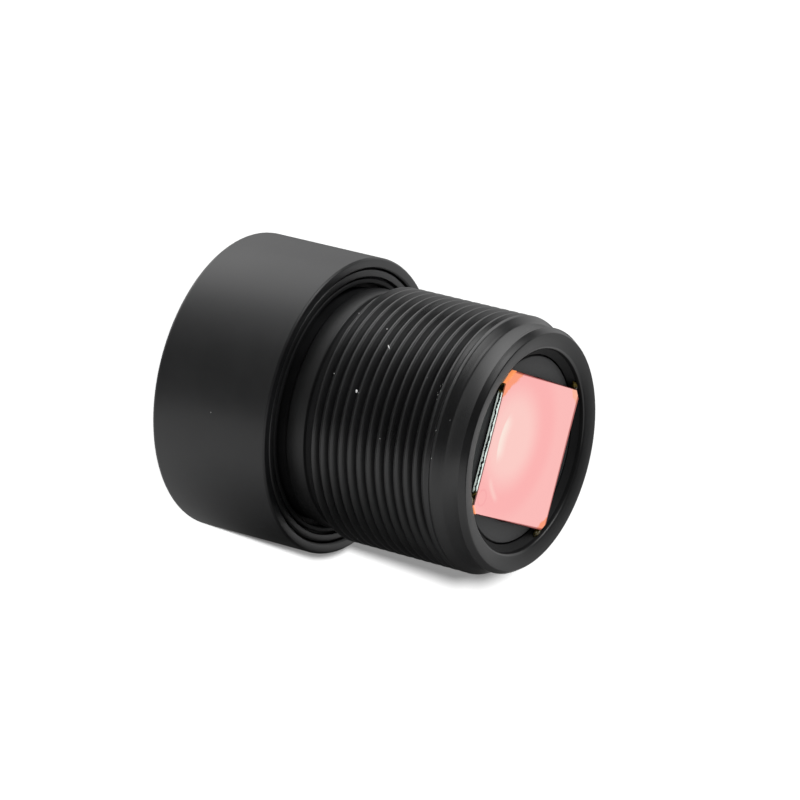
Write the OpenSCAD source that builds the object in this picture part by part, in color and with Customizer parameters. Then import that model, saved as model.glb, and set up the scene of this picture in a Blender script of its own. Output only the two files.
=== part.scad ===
// Wide-angle camera lens with an M12 x 0.5 barrel, standing on its front rim.
// The optical axis is Z, and the origin is the centre of the front rim's face.

/* [Head sleeve] */
// Outside diameter of the head sleeve
head_d = 14; // [13.7:0.1:15.5]
// Length of the head sleeve
head_len = 6.3; // [6.1:0.1:7]
// Wall of the sleeve round the barrel's head
sleeve_wall = 0.5; // [0.4:0.05:0.6]
// Thickness of the lip that holds the front glass
lip_t = 1.6; // [1.5:0.05:1.8]
// Width of the flat rim round the front dish
rim_w = 0.7; // [0.5:0.05:0.8]
// Radius of the rounded front edge
front_round = 0.25; // [0.1:0.05:0.4]
// Chamfer of the sleeve's back edges
back_chamfer = 0.08; // [0.05:0.01:0.12]
// Number of light-trap steps in the front dish
dish_steps = 5; // [3:1:7]

/* [Barrel outside] */
// Length of the barrel behind the head sleeve
reach = 9.85; // [9.5:0.05:11]
// Nominal diameter of the mounting thread
thread_d = 12; // [11.9:0.05:12.3]
// Pitch of the mounting thread
thread_pitch = 0.5; // [0.35:0.05:0.75]
// Distance from the first thread crest to the last
thread_len = 6.5; // [5:0.1:6.8]
// Length from the last thread crest to the rear face
rear_land_len = 1.55; // [1.3:0.05:1.8]
// How far the last crest's flat runs on before it steps down to the waist
last_flat_run = 0.05; // [0.03:0.01:0.12]
// Height of the step from the last crest's flat towards the waist
last_flat_step = 0.08; // [0.04:0.01:0.12]
// Diameter of the plain neck before the thread
neck_d = 11.3; // [11.1:0.05:11.36]
// Depth of the undercuts at both ends of the neck
undercut = 0.15; // [0.1:0.05:0.25]
// Length of the undercut before the first thread crest
start_groove_len = 0.42; // [0.35:0.01:0.5]
// How far the barrel's flange lies inside the sleeve's back edge
flange_inset = 0.08; // [0.05:0.01:0.15]
// Depth of the ring groove in the flange's back
ring_groove_depth = 0.3; // [0.2:0.05:0.4]
// Width of the ring groove in the flange's back
ring_groove_w = 0.1; // [0.06:0.02:0.14]
// Width of the ridge between the ring groove and the neck's undercut
ridge_w = 0.24; // [0.2:0.02:0.3]
// Depth of the undercut between the flange and the neck
flange_undercut_depth = 0.6; // [0.5:0.05:0.7]

/* [Barrel rear end] */
// Diameter of the lip behind the rear face
rear_lip_d = 11.38; // [11.2:0.02:11.5]
// How far the waist is turned in between thread and lip
waist_depth = 0.11; // [0.05:0.01:0.15]
// Diameter of the rear face's outer edge
rear_face_d = 11; // [10.8:0.1:11.1]
// Length of the chamfer between the rear lip and the rear face
rear_chamfer_len = 0.3; // [0.2:0.02:0.36]
// How deep the rear face is dished, from its outer edge to the counterbore's mouth
face_dish = 0.15; // [0.05:0.01:0.2]
// Diameter of the counterbore's mouth
counterbore_d = 9.44; // [9.3:0.02:9.6]
// Straight depth of the counterbore
counterbore_straight = 0.25; // [0.2:0.01:0.3]
// Depth of the counterbore's floor
counterbore_depth = 0.46; // [0.42:0.02:0.55]

/* [Infrared filter] */
// Side of the square filter glass
filter_side = 6.88; // [6.7:0.02:6.96]
// Thickness of the filter glass
filter_t = 0.26; // [0.2:0.01:0.3]
// Diameter across the filter's broken corners
filter_corner_d = 9.04; // [8.98:0.02:9.1]
// Radius of a glue spot at a filter corner
glue_r = 0.55; // [0.45:0.05:0.65]

/* [Optics] */
// Diameter of the front glass
front_lens_d = 11; // [10.8:0.1:11.2]
// Edge thickness of the front glass
front_lens_edge = 1.4; // [1.3:0.05:1.6]
// Radius of the front glass's outer surface
front_lens_ball = 10; // [9.5:0.1:12]
// Radius of the front glass's hollow surface
front_lens_hollow = 5; // [4.9:0.1:7]
// Thickness of the sealing ring
seal_d = 0.78; // [0.6:0.02:0.8]
// Diameter of the second glass
second_lens_d = 8.5; // [8.2:0.1:8.7]
// Edge thickness of the second glass
second_lens_edge = 1.2; // [1.1:0.05:1.4]
// Radius of the second glass's outer surface
second_lens_ball = 12; // [10:0.5:16]
// Radius of the second glass's hollow surface
second_lens_hollow = 3.4; // [3:0.1:4.4]
// Diameter of the third glass
third_lens_d = 7.3; // [7:0.1:7.5]
// Edge thickness of the third glass
third_lens_edge = 1.8; // [1.6:0.05:2.2]
// Radius of the third glass's front surface
third_lens_front_ball = 6.5; // [6:0.1:9]
// Radius of the third glass's back surface
third_lens_back_ball = 8; // [7:0.1:12]
// Diameter of the rear group's glasses
rear_group_d = 7.9; // [7.7:0.1:8.1]
// Radius of the doublet's front surface
doublet_front_ball = 8; // [7:0.1:10]
// Radius of the doublet's cemented surface
cement_ball = 7; // [6:0.1:9]
// Edge thickness of the doublet's crown glass
crown_edge = 0.4; // [0.35:0.05:0.6]
// Centre thickness of the doublet's flint glass
flint_centre = 0.6; // [0.5:0.05:0.8]
// Edge thickness of the rear glass
rear_lens_edge = 1; // [0.9:0.05:1.2]
// Radius of the rear glass's front surface
rear_lens_front_ball = 12; // [10:0.5:16]
// Radius of the rear glass's back surface
rear_lens_back_ball = 8; // [7.5:0.1:12]
// Length of the spacer behind the front glass
front_spacer_len = 0.7; // [0.6:0.05:0.9]
// Length of the spacer behind the second glass
second_spacer_len = 0.6; // [0.55:0.05:0.8]
// Diameter of the fixed aperture
aperture_d = 2.3; // [1.6:0.1:3]
// Thickness of the aperture disc
stop_t = 0.12; // [0.08:0.01:0.2]
// Width of the flat land round each ground surface
lens_land = 0.65; // [0.5:0.05:0.8]

/* [Fits] */
// Radial gap of the screwed fits
screw_fit = 0.05; // [0.03:0.01:0.08]
// Radial gap of each glass and ring in its bore
bore_fit = 0.03; // [0.02:0.01:0.05]
// Gap where a curved surface lies against its seat
touch = 0.01; // [0.005:0.005:0.02]
// Air between a ground surface and the piece before or behind it
air = 0.15; // [0.1:0.05:0.25]

/* [Hidden] */
$fn = 120;
// Overshoot of a cutting tool past the face it opens
eps = 0.05;

anodised = [0.10, 0.10, 0.105];
matt_black = [0.07, 0.07, 0.075];
seal_black = [0.04, 0.04, 0.045];
glass_tint = [0.72, 0.80, 0.84, 0.5];
filter_pink = [1.0, 0.70, 0.69];
glue_amber = [0.80, 0.50, 0.12];

overall_len = head_len + reach;
head_r = head_d / 2;
sleeve_in_r = head_r - sleeve_wall;

// Thread form: sixty degree flanks with flats on crest and root
thread_r = thread_d / 2;
crest_flat = thread_pitch / 8;
thread_h = 0.6134 * thread_pitch;
root_r = thread_r - thread_h;
flank_len = thread_h * tan(30);
thread_rows = floor(thread_len / thread_pitch) + 1;
last_crest_z = overall_len - rear_land_len;
first_crest_z = last_crest_z - (thread_rows - 1) * thread_pitch;
thread_end_z = last_crest_z + crest_flat / 2 + flank_len;
last_flat_end_z = last_crest_z + crest_flat / 2 + last_flat_run;
thread_start_z = first_crest_z - crest_flat / 2 - flank_len;

// Back of the head: flange, ring groove, ridge and undercut
flange_r = sleeve_in_r - screw_fit;
flange_z = head_len - flange_inset;
neck_r = neck_d / 2;
undercut_r = neck_r - undercut;
ridge_in_r = neck_r + 0.1;
ridge_out_r = ridge_in_r + ridge_w;
groove_out_r = ridge_out_r + ring_groove_w;
groove_z = flange_z - ring_groove_depth;
flange_undercut_z = flange_z - flange_undercut_depth;
neck_start_z = head_len + 0.3;
neck_end_z = first_crest_z - start_groove_len;
soft_chamfer = 0.05;

// Rear end: waist, lip, face and counterbore
rear_lip_r = rear_lip_d / 2;
rear_lip_z = overall_len - rear_chamfer_len;
rear_face_r = rear_face_d / 2;
waist_start_z = thread_end_z + 0.04;
waist_half = (rear_lip_z - waist_start_z) / 2;
waist_arc_r = (waist_half * waist_half + waist_depth * waist_depth) / (2 * waist_depth);
mouth_r = counterbore_d / 2;
mouth_z = overall_len - face_dish;
dish_apex_z = overall_len - face_dish * rear_face_r / (rear_face_r - mouth_r);
retainer_bore_r = rear_group_d / 2 + 0.45;
floor_z = mouth_z - counterbore_depth;
cone_z = mouth_z - counterbore_straight;

// Filter: its corners rest on the counterbore's cone, or on the floor if they reach less far
corner_r = min(filter_corner_d / 2, filter_side / sqrt(2));
cone_slope = (cone_z - floor_z) / (mouth_r - retainer_bore_r);
filter_z = floor_z + touch + max(0, corner_r + touch - retainer_bore_r) * cone_slope;

// Bulge or hollow of a ball surface over an opening
function sag(ball, open_r) = ball - sqrt(ball * ball - open_r * open_r);
// Seat height kept to a hundredth of a millimetre, as rings are turned
function seat(z) = round(100 * z) / 100;

// Front group, stacked back from the sleeve's lip
front_lens_r = front_lens_d / 2;
front_open_r = front_lens_r - lens_land;
front_hollow_r = front_lens_r - 3 * lens_land;
pocket_z = lip_t + front_lens_edge;
barrel_front_z = lip_t + seal_d + 2 * touch;
second_r = second_lens_d / 2;
second_open_r = second_r - lens_land;
second_hollow_r = second_r - 2.6 * lens_land;
second_z = pocket_z + front_spacer_len;
second_back_z = second_z + second_lens_edge;
third_r = third_lens_d / 2;
third_open_r = third_r - lens_land;
third_z = second_back_z + second_spacer_len;
third_back_z = third_z + third_lens_edge;

// Rear group, stacked forward from the counterbore's floor to the aperture stop
rear_r = rear_group_d / 2;
rear_open_r = rear_r - lens_land;
retainer_z = seat(floor_z - sag(rear_lens_back_ball, rear_open_r) - air);
rear_lens_z = retainer_z - rear_lens_edge;
flint_back_z = seat(rear_lens_z - sag(rear_lens_front_ball, rear_open_r) - air);
cement_sag = sag(cement_ball, rear_r);
cement_rim_z = seat(flint_back_z - flint_centre - cement_sag - touch);
crown_z = cement_rim_z - crown_edge;
stop_back_z = seat(crown_z - sag(doublet_front_ball, rear_open_r) - air);
stop_z = stop_back_z - stop_t;

// Profile of one thread ridge, as points that climb along the barrel
function ridge(z) = [
    [root_r, z - crest_flat / 2 - flank_len],
    [thread_r, z - crest_flat / 2],
    [thread_r, z + crest_flat / 2],
    [root_r, z + crest_flat / 2 + flank_len]
];

// Ring with plain walls between two heights
module ring(out_r, in_r, z0, z1) {
    translate([0, 0, z0])
        difference() {
            cylinder(r = out_r, h = z1 - z0);
            translate([0, 0, -eps])
                cylinder(r = in_r, h = z1 - z0 + 2 * eps);
        }
}

// Ring whose hole opens as a cone towards one or both faces
module coned_ring(out_r, in_r, z0, z1, cone0_r, cone1_r) {
    mid = (z1 - z0) / 2;
    translate([0, 0, z0])
        difference() {
            cylinder(r = out_r, h = z1 - z0);
            cylinder(r1 = cone0_r, r2 = in_r, h = mid);
            translate([0, 0, mid])
                cylinder(r1 = in_r, r2 = cone1_r, h = z1 - z0 - mid);
        }
}

// Ball surface standing out over an opening, towards the front
module front_bulge(ball, open_r, z) {
    bulge = sag(ball, open_r);
    translate([0, 0, z])
        intersection() {
            translate([0, 0, ball - bulge]) sphere(r = ball);
            translate([0, 0, -bulge - eps]) cylinder(r = open_r, h = bulge + 2 * eps);
        }
}

// Ball surface standing out over an opening, towards the rear
module rear_bulge(ball, open_r, z) {
    translate([0, 0, z])
        mirror([0, 0, 1])
            front_bulge(ball, open_r, 0);
}

// Ball that grinds a hollow into the back of a glass
module rear_hollow(ball, open_r, z) {
    translate([0, 0, z + ball - sag(ball, open_r)])
        sphere(r = ball);
}

module head_sleeve() {
    dish_top_r = head_r - front_round - rim_w;
    step_r = (dish_top_r - front_open_r) / (dish_steps - 1);
    step_z = lip_t / dish_steps;
    steps = [for (i = [0 : dish_steps - 1])
        each [[dish_top_r - i * step_r, i * step_z],
              [dish_top_r - i * step_r, (i + 1) * step_z]]];
    color(anodised)
        rotate_extrude()
            difference() {
                polygon(concat(
                    steps,
                    [[sleeve_in_r, lip_t],
                     [sleeve_in_r, head_len - back_chamfer],
                     [sleeve_in_r + back_chamfer, head_len],
                     [head_r - back_chamfer, head_len],
                     [head_r, head_len - back_chamfer],
                     [head_r, 0]]));
                translate([head_r - front_round, front_round])
                    difference() {
                        translate([0, -front_round - eps])
                            square(front_round + eps);
                        circle(r = front_round);
                    }
            }
}

module barrel_outline() {
    ridges = [for (i = [0 : thread_rows - 2]) each ridge(first_crest_z + i * thread_pitch)];
    difference() {
        polygon(concat(
            [[0, barrel_front_z],
             [flange_r, barrel_front_z],
             [flange_r, flange_z - soft_chamfer],
             [flange_r - soft_chamfer, flange_z],
             [groove_out_r + soft_chamfer, flange_z],
             [groove_out_r, flange_z - soft_chamfer],
             [groove_out_r, groove_z],
             [ridge_out_r, groove_z],
             [ridge_out_r, flange_z - 2 * soft_chamfer],
             [ridge_out_r - soft_chamfer, flange_z - soft_chamfer],
             [ridge_in_r + soft_chamfer, flange_z - soft_chamfer],
             [ridge_in_r, flange_z - 2 * soft_chamfer],
             [ridge_in_r, flange_undercut_z],
             [undercut_r, flange_undercut_z],
             [undercut_r, neck_start_z - undercut],
             [neck_r, neck_start_z],
             [neck_r, neck_end_z],
             [undercut_r, neck_end_z + soft_chamfer],
             [undercut_r, thread_start_z - (root_r - undercut_r) * tan(30)]],
            ridges,
            [[root_r, last_crest_z - crest_flat / 2 - flank_len],
             [thread_r, last_crest_z - crest_flat / 2],
             [thread_r, last_flat_end_z],
             [thread_r - last_flat_step, last_flat_end_z],
             [rear_lip_r, waist_start_z],
             [rear_lip_r, rear_lip_z],
             [rear_face_r, overall_len],
             [0, dish_apex_z]]));
        intersection() {
            translate([rear_lip_r - waist_depth + waist_arc_r, rear_lip_z - waist_half])
                circle(r = waist_arc_r);
            translate([0, waist_start_z])
                square([thread_r, rear_lip_z - waist_start_z]);
        }
    }
}

module barrel() {
    color(anodised)
        difference() {
            rotate_extrude() barrel_outline();
            // Pocket of the front glass, and the bores of the front group
            translate([0, 0, barrel_front_z - eps])
                cylinder(r = front_lens_r + bore_fit, h = pocket_z - barrel_front_z + eps);
            translate([0, 0, pocket_z - eps])
                cylinder(r = second_r + bore_fit, h = third_z - pocket_z + eps);
            translate([0, 0, third_z - eps])
                cylinder(r = third_r + bore_fit, h = third_back_z - third_z + eps);
            // Light hole through the inner wall
            translate([0, 0, third_back_z - eps])
                cylinder(r = third_open_r + touch, h = stop_z - third_back_z + 2 * eps);
            // Bores of the rear group and the retainer
            translate([0, 0, stop_z])
                cylinder(r = rear_r + bore_fit, h = retainer_z - stop_z + eps);
            translate([0, 0, retainer_z])
                cylinder(r = retainer_bore_r, h = floor_z - retainer_z + eps);
            // Counterbore: a cone up from the floor, then a straight wall
            translate([0, 0, floor_z])
                cylinder(r1 = retainer_bore_r, r2 = mouth_r, h = cone_z - floor_z);
            translate([0, 0, cone_z])
                cylinder(r = mouth_r, h = counterbore_straight + eps);
        }
}

module front_seal() {
    color(seal_black)
        translate([0, 0, (lip_t + barrel_front_z) / 2])
            rotate_extrude()
                translate([front_lens_r + touch + seal_d / 2, 0])
                    circle(r = seal_d / 2);
}

module front_lens() {
    color(glass_tint)
        difference() {
            union() {
                translate([0, 0, lip_t]) cylinder(r = front_lens_r, h = front_lens_edge);
                front_bulge(front_lens_ball, front_open_r - touch, lip_t);
            }
            rear_hollow(front_lens_hollow, front_hollow_r, pocket_z);
        }
}

module front_spacer() {
    color(matt_black)
        coned_ring(second_r, second_open_r, pocket_z, second_z,
                   front_hollow_r + touch, second_open_r + touch);
}

module second_lens() {
    color(glass_tint)
        difference() {
            union() {
                translate([0, 0, second_z]) cylinder(r = second_r, h = second_lens_edge);
                front_bulge(second_lens_ball, second_open_r - touch, second_z);
            }
            rear_hollow(second_lens_hollow, second_hollow_r, second_back_z);
        }
}

module second_spacer() {
    color(matt_black)
        ring(second_r, third_open_r + touch, second_back_z, third_z);
}

module third_lens() {
    color(glass_tint)
        union() {
            translate([0, 0, third_z]) cylinder(r = third_r, h = third_lens_edge);
            front_bulge(third_lens_front_ball, third_open_r, third_z);
            rear_bulge(third_lens_back_ball, third_open_r, third_back_z);
        }
}

module aperture_stop() {
    color(matt_black)
        translate([0, 0, stop_z])
            difference() {
                cylinder(r = rear_r, h = stop_t);
                translate([0, 0, -eps]) cylinder(d = aperture_d, h = stop_t + 2 * eps);
                translate([0, 0, stop_t / 2])
                    cylinder(d1 = aperture_d, d2 = aperture_d + stop_t, h = stop_t / 2);
            }
}

module stop_spacer() {
    color(matt_black)
        ring(rear_r, rear_open_r + touch, stop_back_z, crown_z);
}

module doublet_crown() {
    color(glass_tint)
        union() {
            front_bulge(doublet_front_ball, rear_open_r, crown_z);
            intersection() {
                translate([0, 0, crown_z])
                    cylinder(r = rear_r, h = crown_edge + cement_sag + eps);
                translate([0, 0, cement_rim_z + cement_sag - cement_ball])
                    sphere(r = cement_ball);
            }
        }
}

module doublet_flint() {
    color(glass_tint)
        difference() {
            translate([0, 0, cement_rim_z + touch])
                cylinder(r = rear_r, h = flint_back_z - cement_rim_z - touch);
            translate([0, 0, cement_rim_z + cement_sag + touch - cement_ball])
                sphere(r = cement_ball);
        }
}

module rear_spacer() {
    color(matt_black)
        ring(rear_r, rear_open_r + touch, flint_back_z, rear_lens_z);
}

module rear_lens() {
    color(glass_tint)
        union() {
            translate([0, 0, rear_lens_z]) cylinder(r = rear_r, h = rear_lens_edge);
            front_bulge(rear_lens_front_ball, rear_open_r, rear_lens_z);
            rear_bulge(rear_lens_back_ball, rear_open_r, retainer_z);
        }
}

module rear_retainer() {
    in_r = rear_open_r + touch;
    out_r = retainer_bore_r - screw_fit;
    color(anodised)
        rotate_extrude()
            polygon([[in_r, retainer_z],
                     [out_r, retainer_z],
                     [out_r, floor_z - soft_chamfer],
                     [out_r - soft_chamfer, floor_z],
                     [in_r + soft_chamfer, floor_z],
                     [in_r, floor_z - soft_chamfer]]);
}

// Square of the filter with its corners broken, grown by a gap all round
module filter_outline(grow) {
    intersection() {
        square(filter_side + 2 * grow, center = true);
        circle(r = corner_r + grow);
    }
}

module ir_filter() {
    color(filter_pink)
        translate([0, 0, filter_z])
            linear_extrude(height = filter_t)
                filter_outline(0);
}

// Glue between a broken corner of the filter and the counterbore's wall
module glue_spot(corner) {
    color(glue_amber)
        rotate([0, 0, 45 + 90 * corner])
            difference() {
                intersection() {
                    translate([0, 0, floor_z])
                        union() {
                            cylinder(r1 = retainer_bore_r - touch, r2 = mouth_r - touch,
                                     h = cone_z - floor_z);
                            translate([0, 0, cone_z - floor_z])
                                cylinder(r = mouth_r - touch, h = filter_z + filter_t - cone_z);
                        }
                    translate([corner_r, 0, filter_z])
                        cylinder(r = glue_r, h = filter_t);
                }
                rotate([0, 0, 45])
                    translate([0, 0, filter_z - eps])
                        linear_extrude(height = filter_t + 2 * eps)
                            filter_outline(touch);
            }
}

head_sleeve();
barrel();
front_seal();
front_lens();
front_spacer();
second_lens();
second_spacer();
third_lens();
aperture_stop();
stop_spacer();
doublet_crown();
doublet_flint();
rear_spacer();
rear_lens();
rear_retainer();
ir_filter();
glue_spot(0);  // glue_spot_1
glue_spot(1);  // glue_spot_2
glue_spot(2);  // glue_spot_3
glue_spot(3);  // glue_spot_4
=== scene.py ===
# %% [markdown]
# # A threaded board-camera lens, photographed lying on a white table
#
# The real thing is a small black barrel of turned and anodised aluminium. A wide
# head sleeve holds the front glass, a fine M12 x 0.5 thread carries it in its
# holder, and a square pink infrared filter is glued into its rear end.
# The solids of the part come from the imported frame. They set every outside size,
# and this script dresses them: turned edges, the true helix of the thread,
# broken glass corners, glue, dust and the finishes.

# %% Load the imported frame
import math
import random

import bmesh
import bpy
from mathutils import Matrix, Vector, noise


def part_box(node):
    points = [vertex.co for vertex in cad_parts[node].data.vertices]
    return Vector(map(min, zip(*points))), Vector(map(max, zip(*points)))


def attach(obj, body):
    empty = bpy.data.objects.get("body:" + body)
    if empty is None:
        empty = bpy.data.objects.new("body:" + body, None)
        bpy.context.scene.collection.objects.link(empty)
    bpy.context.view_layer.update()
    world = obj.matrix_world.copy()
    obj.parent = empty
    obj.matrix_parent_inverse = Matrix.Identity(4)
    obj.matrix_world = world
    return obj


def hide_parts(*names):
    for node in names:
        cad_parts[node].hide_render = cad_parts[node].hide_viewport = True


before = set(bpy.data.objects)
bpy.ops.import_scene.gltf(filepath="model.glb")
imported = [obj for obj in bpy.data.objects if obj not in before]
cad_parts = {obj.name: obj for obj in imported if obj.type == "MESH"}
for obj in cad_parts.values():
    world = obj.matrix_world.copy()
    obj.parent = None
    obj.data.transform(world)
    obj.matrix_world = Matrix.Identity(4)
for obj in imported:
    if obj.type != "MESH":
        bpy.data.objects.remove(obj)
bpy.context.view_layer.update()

MM = 0.001
print("solids in the frame:", len(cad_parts))

# %% [markdown]
# ## The camera
#
# The photograph shows the lens on its side, with its rear end towards us. The part
# stands on its head in the frame, so the camera is rolled instead of the lens.
# It could be aimed by a target, but a fitted camera is stated best by the place it
# stands and by the two directions that run along the picture's right and up.

# %% Place the camera
CAMERA_PLACE = Vector((-0.180, -177.031, 115.003)) * MM
PICTURE_RIGHT = Vector((-0.24614, 0.49810, 0.83145)).normalized()
PICTURE_UP = Vector((-0.96923, -0.12932, -0.20946)).normalized()

camera_data = bpy.data.cameras.new("photo_camera")
camera_data.sensor_width = 36
camera_data.lens = 202.5
camera_data.clip_start = 0.01
camera_data.clip_end = 10
camera = bpy.data.objects.new("photo_camera", camera_data)
towards_camera = PICTURE_RIGHT.cross(PICTURE_UP)
camera.matrix_world = Matrix((
    (PICTURE_RIGHT.x, PICTURE_UP.x, towards_camera.x, CAMERA_PLACE.x),
    (PICTURE_RIGHT.y, PICTURE_UP.y, towards_camera.y, CAMERA_PLACE.y),
    (PICTURE_RIGHT.z, PICTURE_UP.z, towards_camera.z, CAMERA_PLACE.z),
    (0, 0, 0, 1),
))
bpy.context.scene.collection.objects.link(camera)
bpy.context.scene.camera = camera
bpy.context.scene.view_settings.view_transform = "Standard"
print("camera stands", round(CAMERA_PLACE.length / MM), "mm from the front rim's centre")

# %% [markdown]
# ## White surroundings
#
# A product photograph has a white background, but a white room that lights the
# object fully would wash it out. Light Path tells apart who is looking: the camera,
# reflections and glass see pure white, and the light that falls on the object
# stays at a plain level.

# %% A way to tell who is looking
def looked_at(tree):
    """One where the camera, a reflection or glass is looking, else nought."""
    path = tree.nodes.new("ShaderNodeLightPath")
    either = tree.nodes.new("ShaderNodeMath")
    either.operation = "MAXIMUM"
    tree.links.new(path.outputs["Is Camera Ray"], either.inputs[0])
    tree.links.new(path.outputs["Is Glossy Ray"], either.inputs[1])
    any_of = tree.nodes.new("ShaderNodeMath")
    any_of.operation = "MAXIMUM"
    tree.links.new(either.outputs[0], any_of.inputs[0])
    tree.links.new(path.outputs["Is Transmission Ray"], any_of.inputs[1])
    return any_of.outputs[0]


# %% The world
world = bpy.data.worlds.new("white_room")
bpy.context.scene.world = world
world.use_nodes = True
tree = world.node_tree
tree.nodes.clear()
lighting = tree.nodes.new("ShaderNodeBackground")
lighting.inputs["Color"].default_value = (1, 1, 1, 1)
lighting.inputs["Strength"].default_value = 0.6
seen = tree.nodes.new("ShaderNodeBackground")
seen.inputs["Color"].default_value = (1, 1, 1, 1)
seen.inputs["Strength"].default_value = 1
choose = tree.nodes.new("ShaderNodeMixShader")
tree.links.new(looked_at(tree), choose.inputs["Fac"])
tree.links.new(lighting.outputs[0], choose.inputs[1])
tree.links.new(seen.outputs[0], choose.inputs[2])
output = tree.nodes.new("ShaderNodeOutputWorld")
tree.links.new(choose.outputs[0], output.inputs["Surface"])
print("world lights at", lighting.inputs["Strength"].default_value)

# %% [markdown]
# ## The floor
#
# The floor is a card that the lens stands on. Its own lamp makes it white round the
# lens, so the lens keeps its shadow there. Further out that lamp is too weak, and a
# glow that only the camera sees takes over.

# %% Floor
FLOOR_HALF = 1.5
NEAR_GLOW, FAR_GLOW = 0.06, 0.90

floor_mesh = bpy.data.meshes.new("floor")
bm = bmesh.new()
bmesh.ops.create_grid(bm, x_segments=1, y_segments=1, size=FLOOR_HALF)
bm.to_mesh(floor_mesh)
bm.free()
floor = bpy.data.objects.new("floor", floor_mesh)
floor.visible_glossy = False
bpy.context.scene.collection.objects.link(floor)

card = bpy.data.materials.new("pale_card")
card.use_nodes = True
tree = card.node_tree
tree.nodes.clear()
paper = tree.nodes.new("ShaderNodeBsdfDiffuse")
paper.inputs["Color"].default_value = (0.25, 0.25, 0.25, 1)
glow = tree.nodes.new("ShaderNodeEmission")
from_lens = tree.nodes.new("ShaderNodeVectorMath")
from_lens.operation = "LENGTH"
tree.links.new(tree.nodes.new("ShaderNodeTexCoord").outputs["Object"], from_lens.inputs[0])
further = tree.nodes.new("ShaderNodeMapRange")
for key, value in (("From Min", 0.07), ("From Max", 0.25), ("To Min", NEAR_GLOW), ("To Max", FAR_GLOW)):
    further.inputs[key].default_value = value
tree.links.new(from_lens.outputs["Value"], further.inputs["Value"])
glow_level = tree.nodes.new("ShaderNodeMath")
glow_level.operation = "MULTIPLY"
tree.links.new(further.outputs["Result"], glow_level.inputs[1])
tree.links.new(looked_at(tree), glow_level.inputs[0])
tree.links.new(glow_level.outputs[0], glow.inputs["Strength"])
both = tree.nodes.new("ShaderNodeAddShader")
tree.links.new(paper.outputs[0], both.inputs[0])
tree.links.new(glow.outputs[0], both.inputs[1])
output = tree.nodes.new("ShaderNodeOutputMaterial")
tree.links.new(both.outputs[0], output.inputs["Surface"])
floor_mesh.materials.append(card)
print("floor is", 2 * FLOOR_HALF, "m wide")

# %% [markdown]
# ## Lamps
#
# The photograph was lit by one wide soft light from the picture's top, which is the
# part's -X side here. Area lamps give such light, and their size in proportion to
# the lens sets how soft the shadow is. The picture's shadow is only a thin fringe
# under the lens, so a second lamp stands close to the camera's own direction and
# lights nothing but the floor. Light linking does that, and a wide lamp on
# everything would be the other way, but it would flatten the black metal.

# %% Lamps
def soft_lamp(name, place, size, power):
    data = bpy.data.lights.new(name, "AREA")
    data.shape = "DISK"
    data.size = size
    data.energy = power
    lamp = bpy.data.objects.new(name, data)
    lamp.location = place
    lamp.rotation_mode = "QUATERNION"
    lamp.rotation_quaternion = (-Vector(place)).to_track_quat("-Z", "Y")
    bpy.context.scene.collection.objects.link(lamp)
    print("lamp", name, "at", round(Vector(place).length, 2), "m")
    return lamp


key_lamp = soft_lamp("key_lamp", (-0.50, -0.05, 0.30), 0.30, 2.0)
floor_lamp = soft_lamp("floor_lamp", (-0.050, -0.845, 0.528), 0.030, 66.0)
floor_only = bpy.data.collections.new("floor_only")
floor_only.objects.link(floor)
floor_lamp.light_linking.receiver_collection = floor_only

# %% [markdown]
# ## Boards that the black metal mirrors
#
# Black metal has hardly any colour of its own. What one sees on it is its
# surroundings, and a photographer shapes them with boards just outside the picture.
# A wide disc below glows softly towards -X, where the bright window was, and stays
# dim elsewhere. A dark disc overhead keeps the rear flanks of the thread black, and
# a dark curtain behind the camera does the same for the bevels. In the photograph
# the lens lies on its side, so one more board stands where that table was, with a
# painted shadow of the lens dark under it and paler further out. Only reflections
# see the boards, so they are never in the way of a camera.

# %% Reflection boards
BOARD_R, BOARD_Z = 0.40, -0.06
OVERHEAD_R, OVERHEAD_Z = 0.185, 0.16
BOARD_GLOW = [(0.00, 0.80), (0.07, 0.40), (0.13, 0.20), (0.20, 0.10), (0.27, 0.12), (0.33, 0.45),
              (0.40, 0.90), (0.467, 1.8), (0.533, 2.2), (0.60, 1.1), (0.667, 0.54), (0.733, 0.28),
              (0.80, 0.30), (0.87, 0.68), (0.93, 1.05), (1.00, 0.80)]


def reflection_board(name, radius, height, steps):
    mesh = bpy.data.meshes.new(name)
    bm = bmesh.new()
    bmesh.ops.create_circle(bm, cap_ends=True, radius=radius, segments=steps)
    bmesh.ops.translate(bm, vec=(0, 0, height), verts=bm.verts)
    bm.to_mesh(mesh)
    bm.free()
    board = bpy.data.objects.new(name, mesh)
    bpy.context.scene.collection.objects.link(board)
    board.visible_camera = False
    board.visible_diffuse = False
    board.visible_transmission = False
    board.visible_shadow = False
    return board


def board_material(name):
    made = bpy.data.materials.new(name)
    made.use_nodes = True
    made.node_tree.nodes.clear()
    light = made.node_tree.nodes.new("ShaderNodeEmission")
    output = made.node_tree.nodes.new("ShaderNodeOutputMaterial")
    made.node_tree.links.new(light.outputs[0], output.inputs["Surface"])
    return made, made.node_tree, light


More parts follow.
